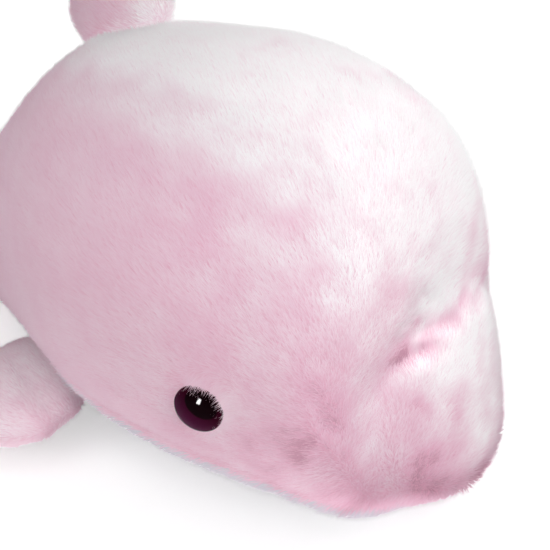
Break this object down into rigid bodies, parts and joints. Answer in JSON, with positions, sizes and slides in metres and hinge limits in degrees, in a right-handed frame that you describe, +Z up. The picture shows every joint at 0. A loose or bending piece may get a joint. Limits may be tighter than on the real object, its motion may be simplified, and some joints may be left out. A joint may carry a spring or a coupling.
{
  "type": "plush dolphin toy",
  "caption": "Stuffed plush dolphin lying on its belly, sewn from short-pile panels, with domed safety eyes and soft fins that bend at their sewn roots.",
  "frame": {"origin": "on the floor, under the middle of the toy's length and width", "axes": "+X to the beak, +Y to the dolphin's left, +Z up"},
  "size_m": [0.5461, 0.3288, 0.3145],
  "materials": {
    "pink_plush": "pale pink short pile plush, combed towards the tail, tips nearly white",
    "white_plush": "cool white short pile plush",
    "stuffing": "loose white fibre filling",
    "eye_crystal": "polished clear dome over plum paint",
    "eye_paint": "plum painted disc with a black pupil",
    "eye_fastener": "moulded black plastic"
  },
  "bodies": {
    "body": {"back_panel_right": "pink_plush", "back_panel_left": "pink_plush", "belly_panel": "white_plush", "body_stuffing": "stuffing", "eye_right_dome": "eye_crystal", "eye_right_iris": "eye_paint", "eye_right_stem": "eye_fastener", "eye_right_washer": "eye_fastener", "eye_left_dome": "eye_crystal", "eye_left_iris": "eye_paint", "eye_left_stem": "eye_fastener", "eye_left_washer": "eye_fastener"},
    "dorsal_fin": {"dorsal_fin_panel_left": "pink_plush", "dorsal_fin_panel_right": "pink_plush", "dorsal_fin_stuffing": "stuffing"},
    "flipper_right": {"flipper_right_panel_upper": "pink_plush", "flipper_right_panel_lower": "pink_plush", "flipper_right_stuffing": "stuffing"},
    "flipper_left": {"flipper_left_panel_upper": "pink_plush", "flipper_left_panel_lower": "pink_plush", "flipper_left_stuffing": "stuffing"},
    "flukes": {"flukes_panel_upper": "pink_plush", "flukes_panel_lower": "pink_plush", "flukes_stuffing": "stuffing"}
  },
  "joints": [
    {"name": "dorsal_fin_lean", "type": "hinge", "parent": "body", "child": "dorsal_fin", "pos_m": [0.01915, 0, 0.2502], "axis": [0.9599, 0, 0.2804], "range_deg": [-40, 40], "stiffness_Nm_per_rad": 0.3},
    {"name": "flipper_right_flap", "type": "hinge", "parent": "body", "child": "flipper_right", "pos_m": [0.01125, -0.09117, 0.03075], "axis": [-0.9496, 0.3134, 0], "range_deg": [-30, 35], "stiffness_Nm_per_rad": 0.4},
    {"name": "flipper_left_flap", "type": "hinge", "parent": "body", "child": "flipper_left", "pos_m": [0.01125, 0.09117, 0.03075], "axis": [0.9496, 0.3134, 0], "range_deg": [-30, 35], "stiffness_Nm_per_rad": 0.4},
    {"name": "flukes_flap", "type": "hinge", "parent": "body", "child": "flukes", "pos_m": [-0.20165, 0, 0.0705], "axis": [0, 1, 0], "range_deg": [-35, 35], "stiffness_Nm_per_rad": 0.4}
  ]
}
